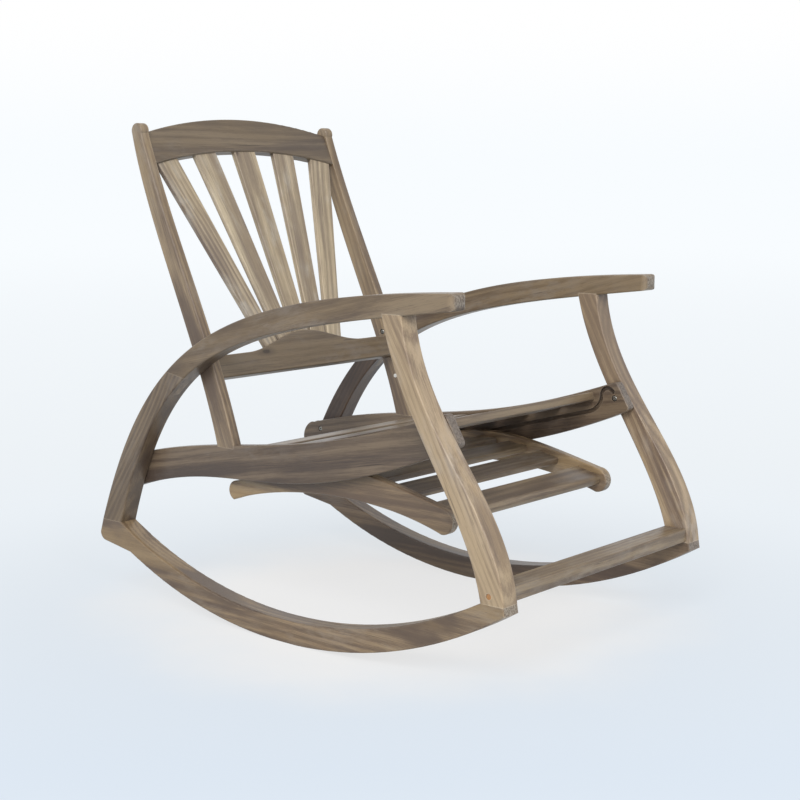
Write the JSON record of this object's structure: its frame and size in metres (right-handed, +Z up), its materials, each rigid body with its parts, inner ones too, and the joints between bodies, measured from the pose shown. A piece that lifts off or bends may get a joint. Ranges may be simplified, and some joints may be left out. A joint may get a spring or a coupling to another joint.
{
  "type": "rocking chair",
  "caption": "Wooden rocking chair with curved arms, a slatted seat, a fan-shaped slatted back and a pull-out slatted footrest under the seat.",
  "frame": {"origin": "on the floor, below the middle of the chair's outline", "axes": "+Z up, the sitter faces -Y, +X to the right of someone who looks along +Y"},
  "size_m": [0.65, 1.067, 0.999],
  "materials": {
    "weathered_wood": "matt, weathered",
    "raw_wood": "matt, freshly cut",
    "steel": "satin"
  },
  "bodies": {
    "frame": {"rocker_left": "weathered_wood", "rocker_right": "weathered_wood", "front_leg_left": "weathered_wood", "front_leg_right": "weathered_wood", "armrest_left": "weathered_wood", "armrest_right": "weathered_wood", "rear_arch_left": "weathered_wood", "rear_arch_right": "weathered_wood", "back_post_left": "weathered_wood", "back_post_right": "weathered_wood", "seat_rail_left": "weathered_wood", "seat_rail_right": "weathered_wood", "seat_slat_1": "weathered_wood", "seat_slat_2": "weathered_wood", "seat_slat_3": "weathered_wood", "seat_slat_4": "weathered_wood", "seat_slat_5": "weathered_wood", "seat_slat_6": "weathered_wood", "back_slat_1": "weathered_wood", "back_slat_2": "weathered_wood", "back_slat_3": "weathered_wood", "back_slat_4": "weathered_wood", "back_slat_5": "weathered_wood", "crest_rail": "weathered_wood", "lower_back_rail": "weathered_wood", "front_stretcher": "weathered_wood", "under_seat_bar": "weathered_wood", "joint_dowels": "raw_wood", "screw_plugs": "raw_wood", "rail_bolts": "steel", "post_bolts": "steel", "post_caps": "steel", "stretcher_screws": "steel"},
    "footrest_pins": {"footrest_pin_left": "steel", "footrest_pin_right": "steel"},
    "footrest": {"footrest_board_left": "weathered_wood", "footrest_board_right": "weathered_wood", "footrest_slat_1": "weathered_wood", "footrest_slat_2": "weathered_wood", "footrest_slat_3": "weathered_wood", "footrest_slat_4": "weathered_wood", "footrest_tie_bar": "weathered_wood"}
  },
  "joints": [
    {"name": "footrest_pull", "type": "slide", "parent": "frame", "child": "footrest_pins", "axis": [0, -0.9654, 0.2606], "range_m": [0, 0.395]},
    {"name": "footrest_tilt", "type": "hinge", "parent": "footrest_pins", "child": "footrest", "pos_m": [0, 0.075, 0.3048], "axis": [-1, 0, 0], "range_deg": [0, 4]}
  ]
}
